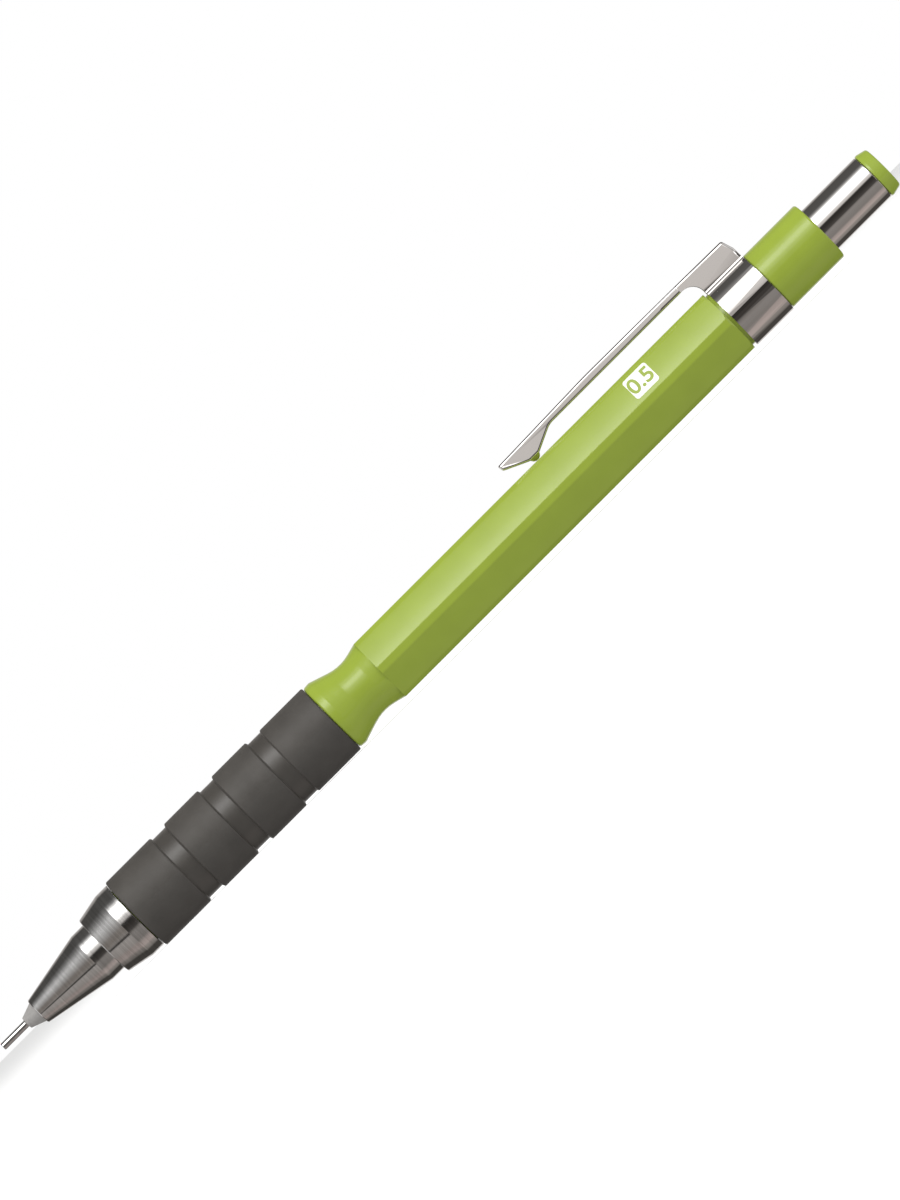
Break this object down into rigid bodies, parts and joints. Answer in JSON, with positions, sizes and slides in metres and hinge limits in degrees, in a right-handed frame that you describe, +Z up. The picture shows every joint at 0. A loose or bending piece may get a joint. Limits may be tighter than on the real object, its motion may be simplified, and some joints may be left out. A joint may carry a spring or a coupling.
{
  "type": "mechanical pencil",
  "caption": "Hexagonal fine-lead drafting pencil with a fixed guide pipe, screw-on stepped metal cone, ribbed rubber grip, pocket clip and push button.",
  "frame": {"origin": "below the middle of the pencil, on the surface it lies on, at the bottom centre of its bounding box", "axes": "+X along the pencil from the writing end to the push button, +Z up through the clip, +Y across"},
  "size_m": [0.1464, 0.0102, 0.0126],
  "materials": {
    "steel_pipe": "polished",
    "grey_insert": "matte light grey",
    "retainer_rubber": "matte black",
    "turned_metal": "satin, fine turning marks",
    "chuck_brass": "machined",
    "ring_brass": "machined",
    "housing_plastic": "matte dark grey",
    "spring_steel": "drawn wire",
    "connector_plastic": "matte white",
    "tank_plastic": "gloss black",
    "graphite": "dull graphite",
    "green_plastic": "gloss yellow-green",
    "grip_rubber": "matte dark grey",
    "clip_chrome": "mirror",
    "button_chrome": "mirror",
    "cap_plastic": "gloss yellow-green",
    "ferrule_metal": "bright",
    "eraser_rubber": "matte white"
  },
  "bodies": {
    "barrel": {"barrel": "green_plastic", "grip_sleeve": "grip_rubber", "clip_base": "clip_chrome", "spring_housing": "housing_plastic", "return_spring": "spring_steel"},
    "clip": {"clip_arm": "clip_chrome"},
    "mechanism": {"chuck": "chuck_brass", "connector": "connector_plastic", "lead_tank": "tank_plastic", "spare_leads": "graphite"},
    "clutch": {"chuck_ring": "ring_brass"},
    "lead": {"lead_in_chuck": "graphite"},
    "button": {"button_tube": "button_chrome", "button_cap": "cap_plastic"},
    "eraser": {"eraser": "eraser_rubber", "eraser_ferrule": "ferrule_metal"},
    "nose": {"guide_pipe": "steel_pipe", "nose_plug": "grey_insert", "lead_retainer": "retainer_rubber"},
    "cone": {"front_cone": "turned_metal"}
  },
  "joints": [
    {"name": "press_button", "type": "slide", "parent": "barrel", "child": "mechanism", "axis": [-1, 0, 0], "range_m": [0, 0.0036], "stiffness_N_per_m": 1500, "deforming": ["return_spring"]},
    {"name": "ring_travel", "type": "slide", "parent": "barrel", "child": "clutch", "axis": [-1, 0, 0], "range_m": [0, 0.00066]},
    {"name": "feed_lead", "type": "slide", "parent": "clutch", "child": "lead", "axis": [-1, 0, 0], "range_m": [0, 0.025]},
    {"name": "pull_button", "type": "slide", "parent": "mechanism", "child": "button", "axis": [1, 0, 0], "range_m": [0, 0.015]},
    {"name": "draw_eraser", "type": "slide", "parent": "mechanism", "child": "eraser", "axis": [1, 0, 0], "range_m": [0, 0.0063]},
    {"name": "flex_clip", "type": "hinge", "parent": "barrel", "child": "clip", "pos_m": [0.04585, 0, 0.01253], "axis": [0, 1, 0], "range_deg": [0, 5], "stiffness_Nm_per_rad": 1.5},
    {"name": "cone_travel", "type": "slide", "parent": "barrel", "child": "nose", "axis": [-1, 0, 0], "range_m": [0, 0.007]},
    {"name": "unscrew_cone", "type": "hinge", "parent": "nose", "child": "cone", "pos_m": [-0.05315, 0, 0.00514], "axis": [-1, 0, 0], "range_deg": [0, 2521]}
  ],
  "couplings": [
    {"joint": "ring_travel", "follows": "press_button", "ratio": 0.18056},
    {"joint": "draw_eraser", "follows": "pull_button", "ratio": 0.41333},
    {"joint": "unscrew_cone", "follows": "cone_travel", "rad_per_m": 6283.2}
  ]
}
